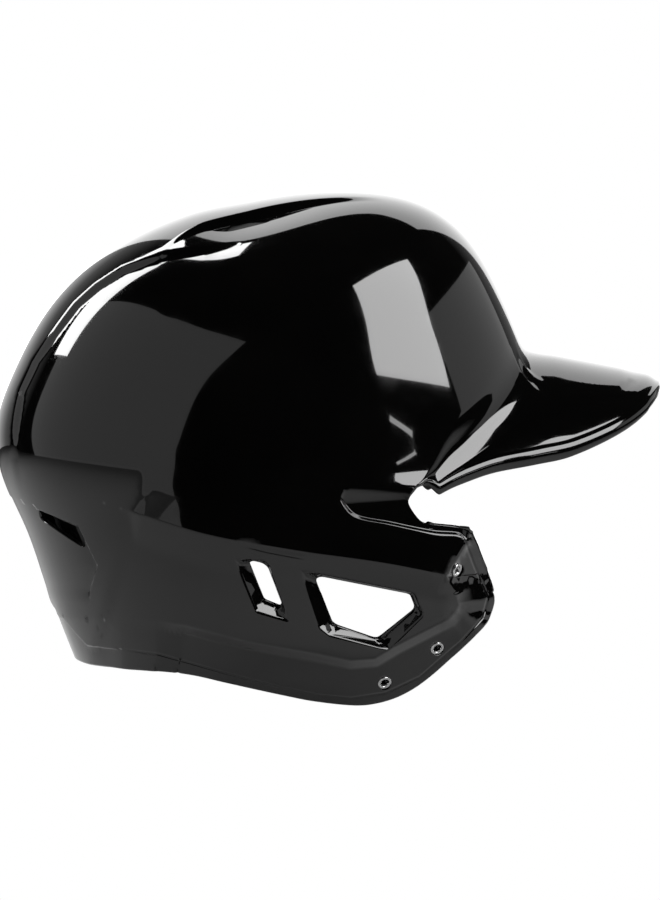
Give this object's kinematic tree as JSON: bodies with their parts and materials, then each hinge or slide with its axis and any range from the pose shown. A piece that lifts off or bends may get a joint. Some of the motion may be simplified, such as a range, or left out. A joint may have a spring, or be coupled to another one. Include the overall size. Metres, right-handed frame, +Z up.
{
  "type": "batting helmet",
  "caption": "Glossy moulded batting helmet with a curved bill, one long ear and jaw flap, and a padded foam liner.",
  "frame": {"origin": "on the upright axis of the head, at the height of the flap's lowest edge", "axes": "+X forward over the bill, +Y the wearer's left, +Z up"},
  "size_m": [0.3039, 0.2041, 0.2329],
  "materials": {
    "shell": "high gloss moulded black",
    "inserts": "bright plated",
    "covers": "matte soft",
    "liner": "fine beaded foam",
    "pads": "brushed knit over foam",
    "hook": "short hook pile"
  },
  "bodies": {
    "root": {"outer_shell": "shell", "jaw_inserts": "inserts", "insert_covers": "covers", "liner_crown": "liner", "liner_front": "liner", "liner_left": "liner", "liner_right": "liner", "liner_rear": "liner", "brow_pad": "pads", "temple_pad_left": "pads", "temple_pad_right": "pads", "side_pad_left": "pads", "side_pad_right": "pads", "rear_pad_left": "pads", "rear_pad_right": "pads", "crown_pad_front": "pads", "crown_pad_rear": "pads", "ear_pad": "pads", "ear_top_pad": "pads", "jaw_pad": "pads", "hook_patches": "hook"}
  },
  "joints": []
}
